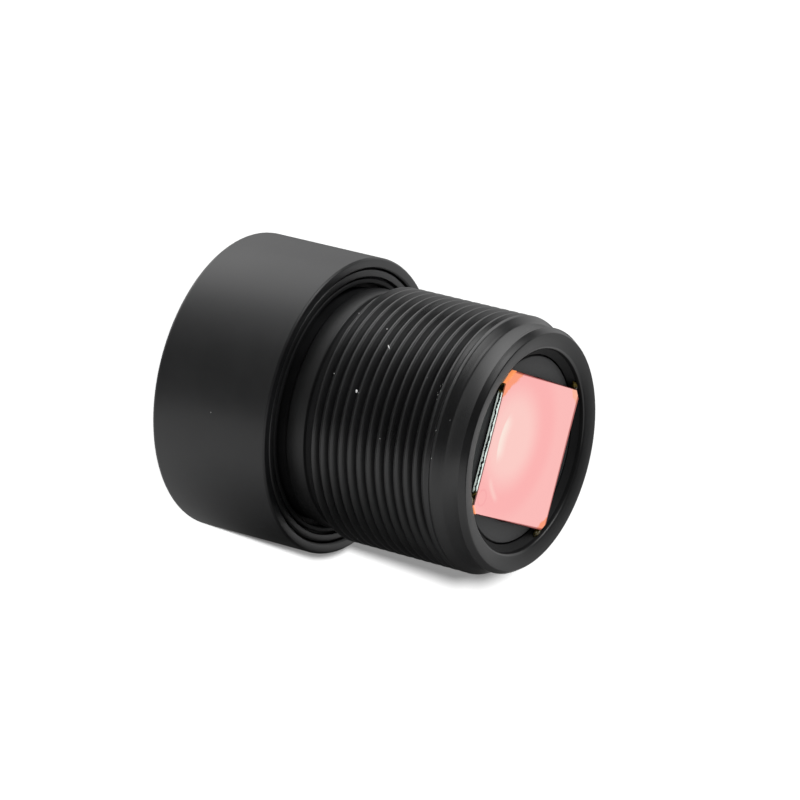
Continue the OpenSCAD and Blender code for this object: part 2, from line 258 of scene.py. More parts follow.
low_board = reflection_board("low_board", BOARD_R, BOARD_Z, 64)
board_glow, tree, light = board_material("board_glow")
place = tree.nodes.new("ShaderNodeTexCoord").outputs["Object"]
parts = tree.nodes.new("ShaderNodeSeparateXYZ")
tree.links.new(place, parts.inputs[0])
turn = tree.nodes.new("ShaderNodeMath")
turn.operation = "ARCTAN2"
tree.links.new(parts.outputs["Y"], turn.inputs[0])
tree.links.new(parts.outputs["X"], turn.inputs[1])
round_once = tree.nodes.new("ShaderNodeMapRange")
round_once.inputs["From Min"].default_value = -math.pi
round_once.inputs["From Max"].default_value = math.pi
tree.links.new(turn.outputs[0], round_once.inputs["Value"])
curve = tree.nodes.new("ShaderNodeFloatCurve")
points = curve.mapping.curves[0].points
TOP_GLOW = 3.0
shifted = sorted(((place_on + 0.5) % 1.0, level) for place_on, level in BOARD_GLOW[:-1])
edge_level = shifted[0][1]
stops = [(0.0, edge_level), *[s for s in shifted if s[0] > 0.001], (1.0, edge_level)]
while len(points) < len(stops):
    points.new(0.5, 0.5)
for point, (where, level) in zip(points, stops):
    point.location = (where, level / TOP_GLOW)
curve.mapping.update()
tree.links.new(round_once.outputs["Result"], curve.inputs["Value"])
strength = tree.nodes.new("ShaderNodeMath")
strength.operation = "MULTIPLY"
strength.inputs[1].default_value = TOP_GLOW
tree.links.new(curve.outputs[0], strength.inputs[0])
tree.links.new(strength.outputs[0], light.inputs["Strength"])
low_board.data.materials.append(board_glow)

overhead_board = reflection_board("overhead_board", OVERHEAD_R, OVERHEAD_Z, 64)
overhead_board.location.x = -0.05
board_dark, tree, light = board_material("board_dark")
light.inputs["Strength"].default_value = 0.08
overhead_board.data.materials.append(board_dark)

CURTAIN_R, CURTAIN_TOP = 0.35, 0.45
curtain = reflection_board("dark_curtain", CURTAIN_R, 0, 64)
bm = bmesh.new()
bm.from_mesh(curtain.data)
walls = bmesh.ops.extrude_face_region(bm, geom=bm.faces[:])["geom"]
bmesh.ops.translate(bm, vec=(0, 0, CURTAIN_TOP), verts=[g for g in walls if isinstance(g, bmesh.types.BMVert)])
bmesh.ops.bisect_plane(bm, geom=bm.verts[:] + bm.edges[:] + bm.faces[:],
                       plane_co=(0, 0, 0), plane_no=(0.6, 0.8, 0), clear_outer=True)
bmesh.ops.delete(bm, geom=[f for f in bm.faces if abs(f.normal.z) > 0.5], context="FACES_ONLY")
bm.to_mesh(curtain.data)
bm.free()
curtain.data.materials.append(board_dark)

TABLE_X = 0.00715
table_board = reflection_board("table_board", 0.10, 0, 4)
bm = bmesh.new()
bmesh.ops.create_grid(bm, x_segments=1, y_segments=1, size=0.018)
bmesh.ops.rotate(bm, cent=(0, 0, 0), verts=bm.verts, matrix=Matrix.Rotation(math.pi / 2, 3, "Y"))
bmesh.ops.translate(bm, vec=(TABLE_X, 0, 0.012), verts=bm.verts)
bm.to_mesh(table_board.data)
bm.free()
# painted shadow of the lens on that table: dark under the lens, paler further out
table_glow, tree, light = board_material("table_glow")
place = tree.nodes.new("ShaderNodeTexCoord").outputs["Object"]
squeezed = tree.nodes.new("ShaderNodeMapping")
squeezed.inputs["Location"].default_value = (0, -0.0015 / 0.0075, -0.0085 / 0.0100)
squeezed.inputs["Scale"].default_value = (0, 1 / 0.0075, 1 / 0.0100)
tree.links.new(place, squeezed.inputs["Vector"])
spread = tree.nodes.new("ShaderNodeVectorMath")
spread.operation = "LENGTH"
tree.links.new(squeezed.outputs[0], spread.inputs[0])
paler = tree.nodes.new("ShaderNodeMapRange")
paler.interpolation_type = "SMOOTHSTEP"
for key, value in (("From Min", 0.5), ("From Max", 1.6), ("To Min", 0.05), ("To Max", 0.90)):
    paler.inputs[key].default_value = value
tree.links.new(spread.outputs["Value"], paler.inputs["Value"])
tree.links.new(paler.outputs["Result"], light.inputs["Strength"])
table_board.data.materials.append(table_glow)
print("boards stand round the lens")

# %% [markdown]
# ## Turning tools
#
# Nearly every piece of a lens is turned on a lathe, so it is drawn as a line from
# the axis outwards and spun once round. Corner rounding is cut into the line before
# it is spun, with a vertex bevel, because that costs a few points instead of a
# bevel over the whole mesh. Ball surfaces are arcs, and an arc is one point spun
# about the centre of the ball.

# %% A line that is drawn corner by corner
class TurnedLine:
    """A line in the XZ plane, in millimetres: radius along X, height along Z."""

    def __init__(self):
        self.bm = bmesh.new()
        self.last = None
        self.softened = []

    def to(self, radius, height, soft=0.0):
        corner = self.bm.verts.new((radius, 0, height))
        if self.last:
            self.bm.edges.new((self.last, corner))
        self.last = corner
        if soft:
            self.softened.append((corner, soft))
        return self

    def arc(self, centre_radius, centre_height, radius, height, steps):
        """An arc about a centre, from the last corner to the given one."""
        centre = Vector((centre_radius, 0, centre_height))
        start = self.last.co - centre
        end = Vector((radius, 0, height)) - centre
        sweep = math.atan2(end.x, end.z) - math.atan2(start.x, start.z)
        sweep = (sweep + math.pi) % (2 * math.pi) - math.pi
        made = bmesh.ops.spin(self.bm, geom=[self.last], cent=centre, axis=(0, 1, 0),
                              angle=sweep, steps=steps)
        self.last = [g for g in made["geom_last"] if isinstance(g, bmesh.types.BMVert)][0]
        return self

    def close(self):
        self.bm.verts.ensure_lookup_table()
        self.bm.edges.new((self.last, self.bm.verts[0]))
        return self

    def spun(self, steps=288):
        for width in sorted({soft for _, soft in self.softened}):
            corners = [corner for corner, soft in self.softened if soft == width]
            bmesh.ops.bevel(self.bm, geom=corners, offset=width, offset_type="OFFSET",
                            affect="VERTICES", segments=3, profile=0.5, material=-1)
        bmesh.ops.spin(self.bm, geom=self.bm.verts[:] + self.bm.edges[:], cent=(0, 0, 0),
                       axis=(0, 0, 1), angle=2 * math.pi, steps=steps, use_merge=True)
        bmesh.ops.remove_doubles(self.bm, verts=self.bm.verts, dist=1e-4)
        return self.bm


# %% Finish a piece
SHARP_ANGLE = math.radians(35)


def finished(bm, name, node, material, sharp=SHARP_ANGLE):
    """Closes the mesh, brings it to metres and puts it in the place of its solid."""
    bmesh.ops.remove_doubles(bm, verts=bm.verts, dist=1e-4)
    bmesh.ops.recalc_face_normals(bm, faces=bm.faces)
    bmesh.ops.scale(bm, vec=(MM, MM, MM), verts=bm.verts)
    open_edges = sum(not e.is_manifold for e in bm.edges)
    mesh = bpy.data.meshes.new(name)
    bm.to_mesh(mesh)
    bm.free()
    mesh.shade_smooth()
    mesh.set_sharp_from_angle(angle=sharp)
    mesh.materials.append(material)
    piece = bpy.data.objects.new(name, mesh)
    bpy.context.scene.collection.objects.link(piece)
    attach(piece, "root")
    if node:
        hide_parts(node)
    print(name, "has", len(mesh.polygons), "faces and", open_edges, "open edges")
    return piece


# %% [markdown]
# ## Sizes
#
# The sizes repeat the named values of the part's source, in millimetres, because a
# line has to meet the solids that stay. Heights run from the front rim to the rear.

# %% Sizes of the metal pieces
HEAD_R, HEAD_LEN = 7.0, 6.3
SLEEVE_IN_R = 6.5
LIP_T = 1.6
THREAD_R, PITCH = 6.0, 0.5
FIRST_CREST_Z, LAST_CREST_Z = 8.10, 14.60
UNDERCUT_R, NECK_R = 5.5, 5.65
LIP_R, LIP_Z = 5.69, 15.85
FACE_R, FACE_Z = 5.5, 16.15
MOUTH_R, MOUTH_Z = 4.72, 16.0
BORE_R, FLOOR_Z, CONE_Z = 4.4, 15.54, 15.75
RETAINER_Z = 14.68
print("the thread has", round((LAST_CREST_Z - FIRST_CREST_Z) / PITCH) + 1, "crests")

# %% [markdown]
# ## Satin black anodising
#
# Anodised aluminium is a thin hard skin, dyed black, over a surface that still
# shows the lathe's fine rings. A flat black would look like plastic. The finish is
# built from three things: rings that follow the radius and the height of each
# point, as the tool left them, a fine grain from the etching bath, and a slow
# change of roughness where hands and swabs have been.

# %% Node helpers
def node(tree, kind, **settings):
    made = tree.nodes.new(kind)
    for key, value in settings.items():
        if key in made.inputs:
            made.inputs[key].default_value = value
        else:
            setattr(made, key, value)
    return made


def math_node(tree, operation, first, second=None):
    made = tree.nodes.new("ShaderNodeMath")
    made.operation = operation
    for socket, value in zip(made.inputs, (first, second)):
        if value is None:
            continue
        if isinstance(value, (int, float)):
            socket.default_value = value
        else:
            tree.links.new(value, socket)
    return made.outputs[0]


def new_material(name):
    made = bpy.data.materials.new(name)
    made.use_nodes = True
    tree = made.node_tree
    tree.nodes.clear()
    shader = tree.nodes.new("ShaderNodeBsdfPrincipled")
    output = tree.nodes.new("ShaderNodeOutputMaterial")
    tree.links.new(shader.outputs[0], output.inputs["Surface"])
    return made, tree, shader


def ramp(tree, value, stops):
    made = tree.nodes.new("ShaderNodeValToRGB")
    while len(made.color_ramp.elements) < len(stops):
        made.color_ramp.elements.new(0.5)
    for element, (place, colour) in zip(made.color_ramp.elements, stops):
        element.position = place
        element.color = (*colour, 1)
    tree.links.new(value, made.inputs["Fac"])
    return made.outputs["Color"]


def lathe_coordinates(tree):
    """Radius and height of a point, in millimetres, with a trace of its azimuth."""
    place = tree.nodes.new("ShaderNodeTexCoord").outputs["Object"]
    parts = tree.nodes.new("ShaderNodeSeparateXYZ")
    tree.links.new(place, parts.inputs[0])
    across = math_node(tree, "ADD",
                       math_node(tree, "MULTIPLY", parts.outputs["X"], parts.outputs["X"]),
                       math_node(tree, "MULTIPLY", parts.outputs["Y"], parts.outputs["Y"]))
    radius = math_node(tree, "MULTIPLY", math_node(tree, "SQRT", across), 1000)
    height = math_node(tree, "MULTIPLY", parts.outputs["Z"], 1000)
    turn = math_node(tree, "ARCTAN2", parts.outputs["Y"], parts.outputs["X"])
    joined = tree.nodes.new("ShaderNodeCombineXYZ")
    tree.links.new(radius, joined.inputs["X"])
    tree.links.new(height, joined.inputs["Y"])
    tree.links.new(math_node(tree, "MULTIPLY", turn, 0.05), joined.inputs["Z"])
    return place, joined.outputs[0]


# %% The black anodised finish
def anodised(name, base, dusty, rough, ring_depth, grain_depth):
    material, tree, shader = new_material(name)
    place, lathe = lathe_coordinates(tree)
    rings = node(tree, "ShaderNodeTexNoise", Scale=14.0, Detail=6.0, Roughness=0.7)
    tree.links.new(lathe, rings.inputs["Vector"])
    grain = node(tree, "ShaderNodeTexNoise", Scale=30000.0, Detail=3.0, Roughness=0.6)
    tree.links.new(place, grain.inputs["Vector"])
    cloud = node(tree, "ShaderNodeTexNoise", Scale=420.0, Detail=4.0, Roughness=0.6)
    tree.links.new(place, cloud.inputs["Vector"])
    tree.links.new(ramp(tree, cloud.outputs["Fac"], [(0.35, base), (0.75, dusty)]),
                   shader.inputs["Base Color"])
    mixed = math_node(tree, "ADD", math_node(tree, "MULTIPLY", cloud.outputs["Fac"], 0.12),
                      math_node(tree, "MULTIPLY", rings.outputs["Fac"], 0.10))
    tree.links.new(math_node(tree, "ADD", mixed, rough - 0.11), shader.inputs["Roughness"])
    first = node(tree, "ShaderNodeBump", Strength=1.0, Distance=ring_depth)
    tree.links.new(rings.outputs["Fac"], first.inputs["Height"])
    second = node(tree, "ShaderNodeBump", Strength=1.0, Distance=grain_depth)
    tree.links.new(grain.outputs["Fac"], second.inputs["Height"])
    tree.links.new(first.outputs[0], second.inputs["Normal"])
    tree.links.new(second.outputs[0], shader.inputs["Normal"])
    shader.inputs["Specular IOR Level"].default_value = 0.5
    shader.inputs["IOR"].default_value = 1.5
    print("finish", name, "is ready")
    return material


sleeve_black = anodised("satin_black_sleeve", (0.0050, 0.0052, 0.0058), (0.0090, 0.0093, 0.0100),
                        0.36, 1.5e-6, 1.0e-6)
barrel_black = anodised("satin_black_barrel", (0.0040, 0.0041, 0.0044), (0.0080, 0.0082, 0.0088),
                        0.30, 1.5e-6, 1.0e-6)
retainer_black = anodised("matt_black_retainer", (0.020, 0.0205, 0.0215), (0.030, 0.0305, 0.032),
                          0.50, 1.5e-6, 1.5e-6)

# painted shade: two darker versions of the barrel's finish, with less reflection and more roughness, for the
# neck, the groove and the counterbore, where shade falls
neck_black = anodised("neck_black_painted_shade", (0.0040, 0.0041, 0.0044), (0.0080, 0.0082, 0.0088),
                      0.42, 2.0e-6, 1.0e-6)
bore_black = anodised("bore_black_painted_shade", (0.0040, 0.0041, 0.0044), (0.0080, 0.0082, 0.0088),
                      0.60, 1.5e-6, 1.5e-6)
for made, level in ((barrel_black, 0.58), (neck_black, 0.46), (bore_black, 0.20)):
    for shader in (n for n in made.node_tree.nodes if n.type == "BSDF_PRINCIPLED"):
        shader.inputs["Specular IOR Level"].default_value = level

# %% [markdown]
# ## The head sleeve
#
# The sleeve is the widest piece. Its lip holds the front glass, and light-trap
# steps lead from the flat rim down to the glass. All of it is one line, spun once.
# The corners get small rounds, as anodised edges never stay knife sharp.

# %% Head sleeve
DISH_STEPS = 5
DISH_TOP_R, DISH_END_R = 6.05, 4.85
EDGE_SOFT = 0.03

line = TurnedLine()
for i in range(DISH_STEPS):
    step_r = DISH_TOP_R - i * (DISH_TOP_R - DISH_END_R) / (DISH_STEPS - 1)
    line.to(step_r, i * LIP_T / DISH_STEPS, EDGE_SOFT)
    line.to(step_r, (i + 1) * LIP_T / DISH_STEPS, 0.02)
line.to(SLEEVE_IN_R, LIP_T)
line.to(SLEEVE_IN_R, HEAD_LEN - 0.08, 0.02)
line.to(SLEEVE_IN_R + 0.08, HEAD_LEN, 0.02)
line.to(HEAD_R - 0.08, HEAD_LEN, 0.03)
line.to(HEAD_R, HEAD_LEN - 0.08, 0.03)
line.to(HEAD_R, 0.25)
line.arc(HEAD_R - 0.25, 0.25, HEAD_R - 0.25, 0, 6)
line.close()
sleeve = finished(line.spun(360), "turned_sleeve", "head_sleeve",
                  sleeve_black)

# %% [markdown]
# ## The thread
#
# A thread is not a row of rings: the tool advances one pitch for each turn of the
# bar. So the profile of all its teeth is drawn once and spun through one full turn
# while it climbs by one pitch. The end of each tooth then meets the start of the
# next, and merging the doubled points makes one continuous right-hand helix.
# Near the rear land the tool is drawn out of the cut, so the last groove grows
# shallow and narrow before it ends.

# %% Spin the helix
THREAD_STEPS = 240
CREST_BALL, ROOT_BALL = 0.11, 0.04
FLANK_ANGLE = math.radians(60)
CREST_AZIMUTH = 190.0
CREST_Z_AT_ZERO = FIRST_CREST_Z - PITCH * CREST_AZIMUTH / 360
LAND_CUT_Z = 14.62
START_CUT_Z = 7.84

crest_half, root_half = CREST_BALL * math.sin(FLANK_ANGLE), ROOT_BALL * math.sin(FLANK_ANGLE)
crest_fall, root_rise = (ball * (1 - math.cos(FLANK_ANGLE)) for ball in (CREST_BALL, ROOT_BALL))
flank_drop = (PITCH / 2 - crest_half - root_half) * math.tan(FLANK_ANGLE)
root_r = THREAD_R - crest_fall - flank_drop - root_rise
teeth = TurnedLine()
teeth.to(root_r, CREST_Z_AT_ZERO - 2.5 * PITCH)
for k in range(-2, 15):
    crest_z = CREST_Z_AT_ZERO + k * PITCH
    teeth.arc(root_r + ROOT_BALL, crest_z - PITCH / 2,
              root_r + root_rise, crest_z - PITCH / 2 + root_half, 2)
    teeth.to(THREAD_R - crest_fall, crest_z - crest_half)
    teeth.arc(THREAD_R - CREST_BALL, crest_z, THREAD_R - crest_fall, crest_z + crest_half, 8)
    teeth.to(root_r + root_rise, crest_z + PITCH / 2 - root_half)
    teeth.arc(root_r + ROOT_BALL, crest_z + PITCH / 2, root_r, crest_z + PITCH / 2, 2)
print("thread is", round(THREAD_R - root_r, 3), "mm deep")
thread_bm = teeth.bm
bmesh.ops.spin(thread_bm, geom=thread_bm.verts[:] + thread_bm.edges[:], cent=(0, 0, 0),
               axis=(0, 0, 1), angle=2 * math.pi, steps=THREAD_STEPS,
               dvec=(0, 0, PITCH / THREAD_STEPS))
bmesh.ops.remove_doubles(thread_bm, verts=thread_bm.verts, dist=1e-3)
print("thread surface has", len(thread_bm.faces), "faces")

# %% Draw the tool out at the ends of the cut
FADE_FROM_Z, FADE_TO_Z = 14.15, 14.66
START_CONE, START_CONE_Z = 4.0, 8.01


def turn_of(place):
    return (math.degrees(math.atan2(place.y, place.x)) % 360) / 360


for vert in thread_bm.verts:
    place = vert.co
    turn = turn_of(place)
    groove_at_turn = CREST_Z_AT_ZERO + PITCH / 2 + PITCH * turn
    groove_z = groove_at_turn + PITCH * round((place.z - groove_at_turn) / PITCH)
    depth = max(0.0, min(1.0, (FADE_TO_Z - groove_z) / (FADE_TO_Z - FADE_FROM_Z)))
    radius = math.hypot(place.x, place.y)
    wanted = THREAD_R - (THREAD_R - radius) * depth
    wanted = min(wanted, UNDERCUT_R + max(0.0, place.z - START_CONE_Z) * START_CONE)
    narrow = 0.55 + 0.45 * depth
    height = groove_z - 0.09 * (1 - depth) + (place.z - groove_z) * narrow
    vert.co = Vector((place.x * wanted / radius, place.y * wanted / radius, height))

for cut_z, side in ((START_CUT_Z, 1), (LAND_CUT_Z, -1)):
    bmesh.ops.bisect_plane(thread_bm, geom=thread_bm.verts[:] + thread_bm.edges[:] + thread_bm.faces[:],
                           plane_co=(0, 0, cut_z), plane_no=(0, 0, side), dist=1e-5,
                           clear_inner=True)
loose = [v for v in thread_bm.verts if not v.link_faces]
bmesh.ops.delete(thread_bm, geom=loose, context="VERTS")
print("thread runs from", START_CUT_Z, "to", LAND_CUT_Z, "mm")

# %% [markdown]
# ## The rest of the barrel
#
# Everything on the barrel but the thread is a plain turned line: round the waist
# and the rear lip, over the dished face, down the counterbore, through the bores
# of the glasses, and back over the flange, the ring groove and the neck.

# %% Barrel
WAIST_Z = 14.98
WAIST_DEPTH = 0.05
LAND_END_Z = 14.681
half = (LIP_Z - WAIST_Z) / 2
waist_ball = (half * half + WAIST_DEPTH * WAIST_DEPTH) / (2 * WAIST_DEPTH)

line = TurnedLine()
line.to(THREAD_R, LAND_CUT_Z)
line.to(THREAD_R, LAND_END_Z, 0.06)
line.to(LIP_R, WAIST_Z, 0.12)
line.arc(LIP_R - WAIST_DEPTH + waist_ball, WAIST_Z + half, LIP_R, LIP_Z, 16)
line.to(LIP_R - 0.03, LIP_Z + 0.05).to(FACE_R, FACE_Z, 0.05)
line.to(MOUTH_R, MOUTH_Z, 0.12)
line.to(MOUTH_R, CONE_Z, 0.02).to(BORE_R, FLOOR_Z).to(BORE_R, RETAINER_Z)
line.to(3.98, RETAINER_Z).to(3.98, 9.86).to(3.01, 9.86)
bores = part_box("third_lens")
print("third glass runs from", [round(c.z / MM, 2) for c in bores])
line.to(3.01, 7.30).to(3.68, 7.30).to(3.68, 5.50).to(4.28, 5.50).to(4.28, 3.0)
line.to(5.53, 3.0).to(5.53, 2.40).to(6.45, 2.40, 0.02)
line.to(6.45, 6.22, 0.12).to(6.09, 6.22, 0.05).to(6.09, 5.92)
line.to(5.99, 5.92).to(5.99, 6.12, 0.02).to(5.94, 6.17, 0.02).to(5.80, 6.17, 0.02)
line.to(5.75, 6.12, 0.02)
line.to(5.75, 5.62).to(5.5, 5.62).to(5.5, 6.45).to(NECK_R, 6.60, 0.04)
line.to(NECK_R, 7.50, 0.04).to(UNDERCUT_R, 7.58, 0.03).to(UNDERCUT_R, START_CUT_Z)
barrel_bm = line.spun(THREAD_STEPS)

thread_mesh = bpy.data.meshes.new("helix")
thread_bm.to_mesh(thread_mesh)
thread_bm.free()
barrel_bm.from_mesh(thread_mesh)
bpy.data.meshes.remove(thread_mesh)
for cut_z in (START_CUT_Z, LAND_CUT_Z):
    rims = [e for e in barrel_bm.edges if e.is_boundary
            and all(abs(v.co.z - cut_z) < 1e-3 for v in e.verts)]
    print("rims at", cut_z, "have", len(rims), "edges")
    bmesh.ops.remove_doubles(barrel_bm, verts=list({v for e in rims for v in e.verts}), dist=4e-3)
    rims = [e for e in barrel_bm.edges if e.is_boundary
            and all(abs(v.co.z - cut_z) < 1e-3 for v in e.verts)]
    if rims:
        bmesh.ops.bridge_loops(barrel_bm, edges=rims)
barrel = finished(barrel_bm, "threaded_barrel", "barrel", barrel_black)

# painted shade: less reflection and more roughness darken the counterbore and the ring groove with
# both ends of the neck; the neck itself and the flat end face are darkened a little less
barrel.data.materials.append(bore_black)
barrel.data.materials.append(neck_black)
painted_shade_faces = 0
for face in barrel.data.polygons:
    radius, height = math.hypot(face.center.x, face.center.y) / MM, face.center.z / MM
    in_bore = radius < MOUTH_R + 0.02
    in_groove = radius < 6.08 and (5.5 < height < 6.75 or 7.52 < height < START_CONE_Z)
    if in_bore or in_groove:
        face.material_index = 1
        painted_shade_faces += 1
    elif (radius < 5.9 and 6.75 <= height < 7.52) or face.normal.z > 0.94:
        face.material_index = 2
print("painted shade faces:", painted_shade_faces)

# %% [markdown]
# ## The retainer behind the rear glass
#
# A thin threaded ring, screwed in from the rear, holds the glass stack together.
# Two small spanner slots would be there on many lenses, but none shows under the
# filter, so the ring stays plain.

# %% Rear retainer
line = TurnedLine()
line.to(3.31, RETAINER_Z).to(4.35, RETAINER_Z)
line.to(4.35, FLOOR_Z - 0.05, 0.015).to(4.30, FLOOR_Z, 0.015)
line.to(3.36, FLOOR_Z, 0.015).to(3.31, FLOOR_Z - 0.05, 0.015)
line.close()
retainer = finished(line.spun(), "ring_retainer", "rear_retainer",
                    retainer_black)

# %% [markdown]
# ## The infrared filter
#
# The filter is a square of thin glass, scribed and snapped from a big coated plate.
# Its top carries the pink coat, its corners are broken off so that it fits the
# round counterbore, and its edges show the scribe: two light bands with a rough
# dark line between. The plate starts as one face of a grid, is cut at the corners,
# extruded to its thickness, and then its long edges are divided and nudged, because
# snapped glass is never straight. A Boolean of a box would leave it too perfect.

# %% Filter glass
FILTER_HALF, FILTER_CUT_R = 3.44, 4.63
FILTER_SQUEEZE, FILTER_TURN = 0.966, -0.7
FILTER_Z, FILTER_T = 15.635, 0.26

filter_bm = bmesh.new()
bmesh.ops.create_grid(filter_bm, x_segments=1, y_segments=1, size=FILTER_HALF)
bmesh.ops.translate(filter_bm, vec=(0, 0, FILTER_Z), verts=filter_bm.verts)
for corner in range(4):
    across = Vector((math.cos(math.radians(45 + 90 * corner)),
                     math.sin(math.radians(45 + 90 * corner)), 0))
    reach = FILTER_CUT_R - (0.26 if corner == 2 else 0.03 * (corner % 2))
    bmesh.ops.bisect_plane(filter_bm, geom=filter_bm.verts[:] + filter_bm.edges[:] + filter_bm.faces[:],
                           plane_co=across * reach, plane_no=across, clear_outer=True)
long_edges = [e for e in filter_bm.edges if e.calc_length() > 2]
bmesh.ops.subdivide_edges(filter_bm, edges=long_edges, cuts=60)
bmesh.ops.subdivide_edges(filter_bm, edges=[e for e in filter_bm.edges if 0.3 < e.calc_length() < 2],
                          cuts=10)
for vert in filter_bm.verts:
    wobble = noise.noise(vert.co * 1.7) * 0.6 + noise.noise(vert.co * 7.0) * 0.4
    inward = Vector((vert.co.x, vert.co.y, 0)).normalized()
    vert.co -= inward * 0.018 * abs(wobble)
bmesh.ops.scale(filter_bm, vec=(FILTER_SQUEEZE, 1, 1), verts=filter_bm.verts)
bmesh.ops.rotate(filter_bm, cent=(0, 0, 0), verts=filter_bm.verts,
                 matrix=Matrix.Rotation(math.radians(FILTER_TURN), 3, "Z"))
top = bmesh.ops.extrude_face_region(filter_bm, geom=filter_bm.faces[:])["geom"]
top_verts = [g for g in top if isinstance(g, bmesh.types.BMVert)]
bmesh.ops.translate(filter_bm, vec=(0, 0, FILTER_T), verts=top_verts)
top_z = FILTER_Z + FILTER_T
bmesh.ops.recalc_face_normals(filter_bm, faces=filter_bm.faces)
rim_edges = [e for e in filter_bm.edges
             if all(v.co.z > top_z - 1e-4 for v in e.verts) and len(e.link_faces) == 2
             and any(abs(f.normal.z) < 0.5 for f in e.link_faces)]
print("filter's rim has", len(rim_edges), "edges")
bmesh.ops.bevel(filter_bm, geom=rim_edges, offset=0.035, offset_type="OFFSET", affect="EDGES",
                segments=1, profile=0.5, material=-1)
print("filter outline has", len(top_verts), "points")

# %% [markdown]
# ## The pink coat
#
# The coat is a stack of clear films that throws back red light and lets the rest
# through, so the glass looks like a pink mirror over a dark hole. A painted highlight,
# a bright window as if from the rear glass, and painted reflections of that glass lie
# on it, and amber glue shows through at the corners. The pattern is built from
# distances in the filter's own plane, so it stays put when the camera moves.

# %% Filter material
def distance_from(tree, place, centre):
    """Distance in millimetres from a centre, in the plane of the filter."""
    moved = tree.nodes.new("ShaderNodeMapping")
    moved.vector_type = "POINT"
    moved.inputs["Location"].default_value = (-centre[0], -centre[1], 0)
    moved.inputs["Scale"].default_value = (1000, 1000, 0)
    tree.links.new(place, moved.inputs["Vector"])
    length = tree.nodes.new("ShaderNodeVectorMath")
    length.operation = "LENGTH"
    tree.links.new(moved.outputs[0], length.inputs[0])
    return length.outputs["Value"]


def mixed_colour(tree, factor, first, second, blend="MIX"):
    made = tree.nodes.new("ShaderNodeMix")
    made.data_type = "RGBA"
    made.blend_type = blend
    for socket, value in ((made.inputs["Factor"], factor), (made.inputs["A"], first),
                          (made.inputs["B"], second)):
        if isinstance(value, tuple):
            socket.default_value = (*value, 1)
        elif isinstance(value, float):
            socket.default_value = value
        else:
            tree.links.new(value, socket)
    return made.outputs["Result"]


def step_between(tree, value, low, high):
    """Nought below low, one above high, smooth between."""
    made = tree.nodes.new("ShaderNodeMapRange")
    made.interpolation_type = "SMOOTHSTEP"
    made.inputs["From Min"].default_value = low
    made.inputs["From Max"].default_value = high
    tree.links.new(value, made.inputs["Value"])
    return made.outputs["Result"]


HIGHLIGHT_PINK = (1.0, 0.60, 0.56)
REFLECTION_PINK = (1.0, 0.80, 0.72)
HIGHLIGHT_RIM_PINK = (1.0, 0.445, 0.435)
PLAIN_PINK = (1.0, 0.495, 0.475)
SMALL_RING_LINE = (0.95, 0.36, 0.37)
RED_EDGE_AND_SHADE = (0.30, 0.020, 0.012)
PALE_GLUE = (1.0, 0.46, 0.30)
GLUE_SEEN = (1.0, 0.30, 0.13)
GLASS_EDGE = (0.80, 0.88, 0.84)
AMBER_EDGE = (0.50, 0.17, 0.05)
OLD_GLUE = (0.012, 0.010, 0.004)
OLIVE_GLUE = (0.22, 0.16, 0.03)
SCRIBE_DARK = (0.015, 0.016, 0.016)

pink_coat, tree, shader = new_material("pink_coat")
place = tree.nodes.new("ShaderNodeTexCoord").outputs["Object"]
wavy = node(tree, "ShaderNodeTexNoise", Scale=1500.0, Detail=4.0, Roughness=0.6)
tree.links.new(place, wavy.inputs["Vector"])

# painted highlight: a bright window, as if from the rear glass, warm in the middle and deeper pink at its rim
glow = distance_from(tree, place, (-0.37, -1.70))
colour = mixed_colour(tree, step_between(tree, glow, 1.3, 2.9), HIGHLIGHT_PINK, HIGHLIGHT_RIM_PINK)
colour = mixed_colour(tree, step_between(tree, glow, 3.2, 4.2), colour, PLAIN_PINK)
# painted reflections of the rear glass: a pale crescent and a fainter second arc
disc = distance_from(tree, place, (-0.15, -0.30))
inside = step_between(tree, disc, 2.44, 2.34)
rising = step_between(tree, disc, 1.55, 2.36)
near_arc = step_between(tree, distance_from(tree, place, (-0.33, -2.60)), 1.30, 0.55)
crescent_reflection = math_node(tree, "MULTIPLY", math_node(tree, "MULTIPLY", inside, rising), near_arc)
second_arc = math_node(tree, "ABSOLUTE", math_node(tree, "SUBTRACT", disc, 2.95))
second = math_node(tree, "MULTIPLY", step_between(tree, second_arc, 0.24, 0.0), math_node(
    tree, "MULTIPLY", step_between(tree, distance_from(tree, place, (2.1, -2.2)), 0.9, 0.3), 0.35))
colour = mixed_colour(tree, second, colour, REFLECTION_PINK)
colour = mixed_colour(tree, crescent_reflection, colour, REFLECTION_PINK)
# a thin darker ring near one corner of the coat
small_ring = math_node(tree, "ABSOLUTE", math_node(tree, "SUBTRACT",
                                               distance_from(tree, place, (2.50, -2.95)), 0.36))
colour = mixed_colour(tree, math_node(tree, "MULTIPLY", step_between(tree, small_ring, 0.10, 0.0), 0.45),
                      colour, SMALL_RING_LINE)

# glue that has crept under each corner: its reach from the cut, and its colour
corners = [(-1, -1, 0.80, GLUE_SEEN), (1, 1, 0.38, GLUE_SEEN), (-1, 1, 0.42, PALE_GLUE),
           (1, -1, 0.08, PALE_GLUE)]
for side_x, side_y, reach, tone in corners:
    along = tree.nodes.new("ShaderNodeVectorMath")
    along.operation = "DOT_PRODUCT"
    along.inputs[1].default_value = (side_x * 707.1, side_y * 707.1, 0)
    tree.links.new(place, along.inputs[0])
    crept = math_node(tree, "SUBTRACT", FILTER_CUT_R, along.outputs["Value"])
    uneven = math_node(tree, "ADD", crept, math_node(
        tree, "MULTIPLY", math_node(tree, "SUBTRACT", wavy.outputs["Fac"], 0.5), 0.7))
    spot = step_between(tree, uneven, reach + 0.06, reach - 0.04)
    colour = mixed_colour(tree, math_node(tree, "MULTIPLY", spot, 0.9), colour, tone)

